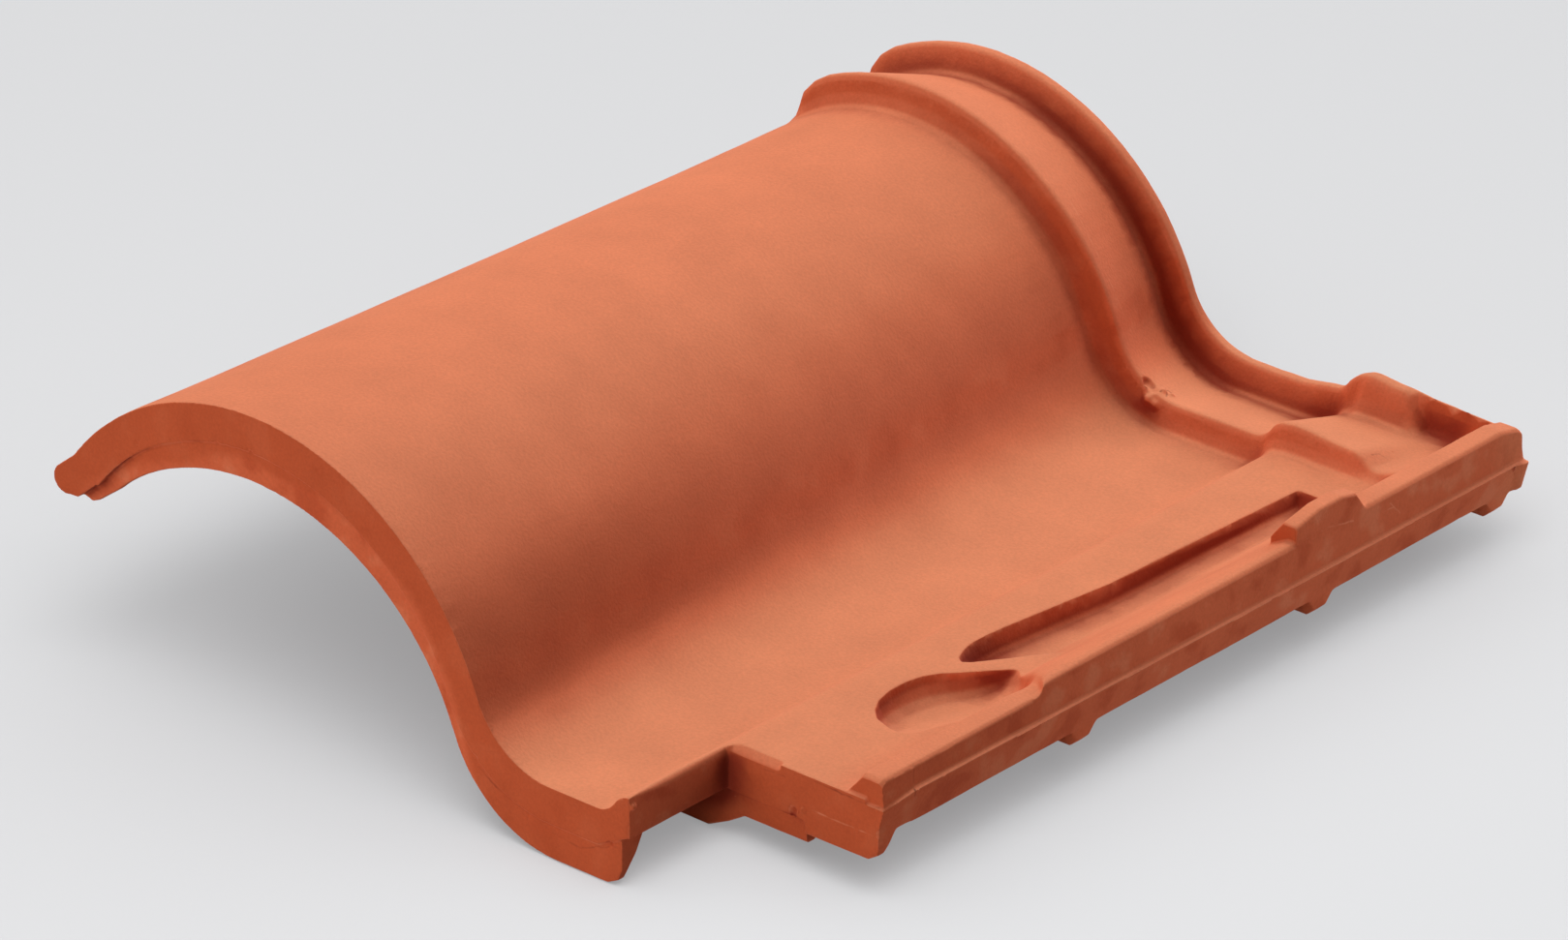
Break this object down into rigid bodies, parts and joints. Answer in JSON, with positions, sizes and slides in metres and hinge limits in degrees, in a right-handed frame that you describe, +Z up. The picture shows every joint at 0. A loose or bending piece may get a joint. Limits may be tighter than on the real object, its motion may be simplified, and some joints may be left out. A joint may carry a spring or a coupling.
{
  "type": "clay roof tile",
  "caption": "Interlocking S-shaped clay roof tile with a tapered roll, flat pan, side water lock, transverse weather ribs at the head and a notched tail corner.",
  "frame": {"origin": "middle of the tile's footprint, on the level surface that it lies on", "axes": "+Z up, +Y along the tile from the tail to the head, +X across it from the roll to the side lock"},
  "size_m": [0.338, 0.4, 0.1272],
  "materials": {
    "fired_clay": "unglazed matt terracotta with a fine sandy grain and soft mottling"
  },
  "bodies": {
    "root": {"roof_tile": "fired_clay"}
  },
  "joints": []
}
